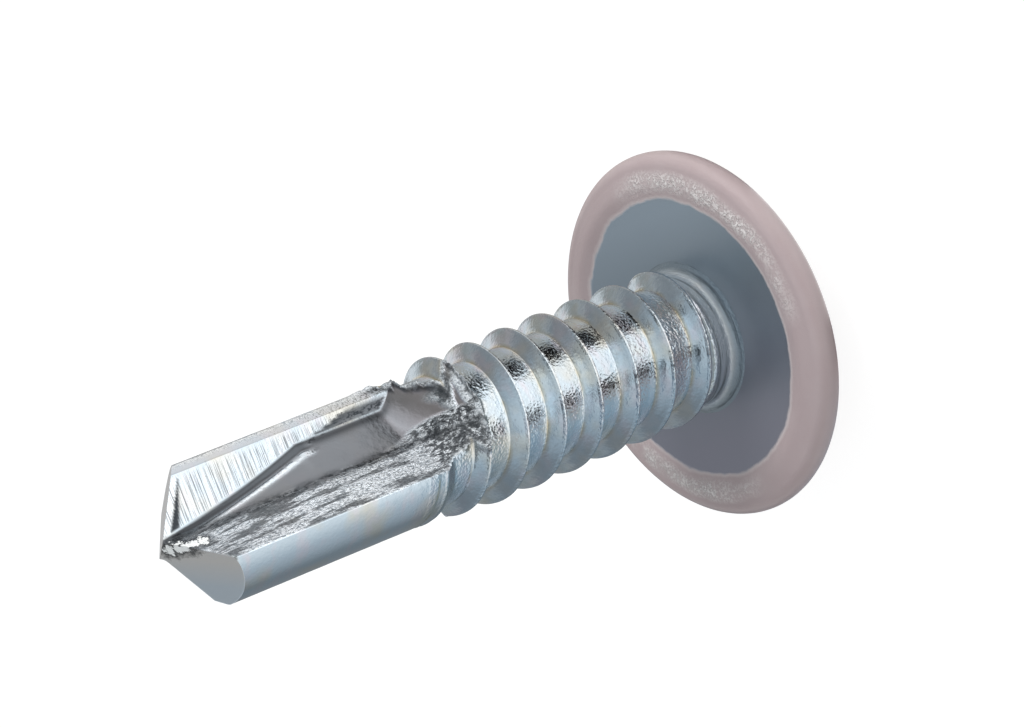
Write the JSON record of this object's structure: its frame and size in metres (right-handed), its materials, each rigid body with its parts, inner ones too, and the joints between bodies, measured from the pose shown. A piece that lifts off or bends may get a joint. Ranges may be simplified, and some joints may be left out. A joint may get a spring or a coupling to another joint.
{
  "type": "self-drilling tapping screw",
  "caption": "Zinc-plated self-drilling tapping screw with a painted washer-flanged pan head, cross recess, coarse left-hand thread and fluted drill point",
  "frame": {"origin": "on the screw's axis, in the plane of the flat crown that it stands on", "axes": "+Z runs along the screw's axis from the head's crown to the drill point; +X passes through the first crest over the bearing face; +Y completes the right-handed frame"},
  "size_m": [0.0102, 0.0102, 0.0204],
  "materials": {
    "zinc_plated_steel": "bright zinc plate with a clear blue passivation, matte on the underside of the head; head and rim painted satin mauve grey"
  },
  "bodies": {
    "root": {"screw": "zinc_plated_steel"}
  },
  "joints": []
}
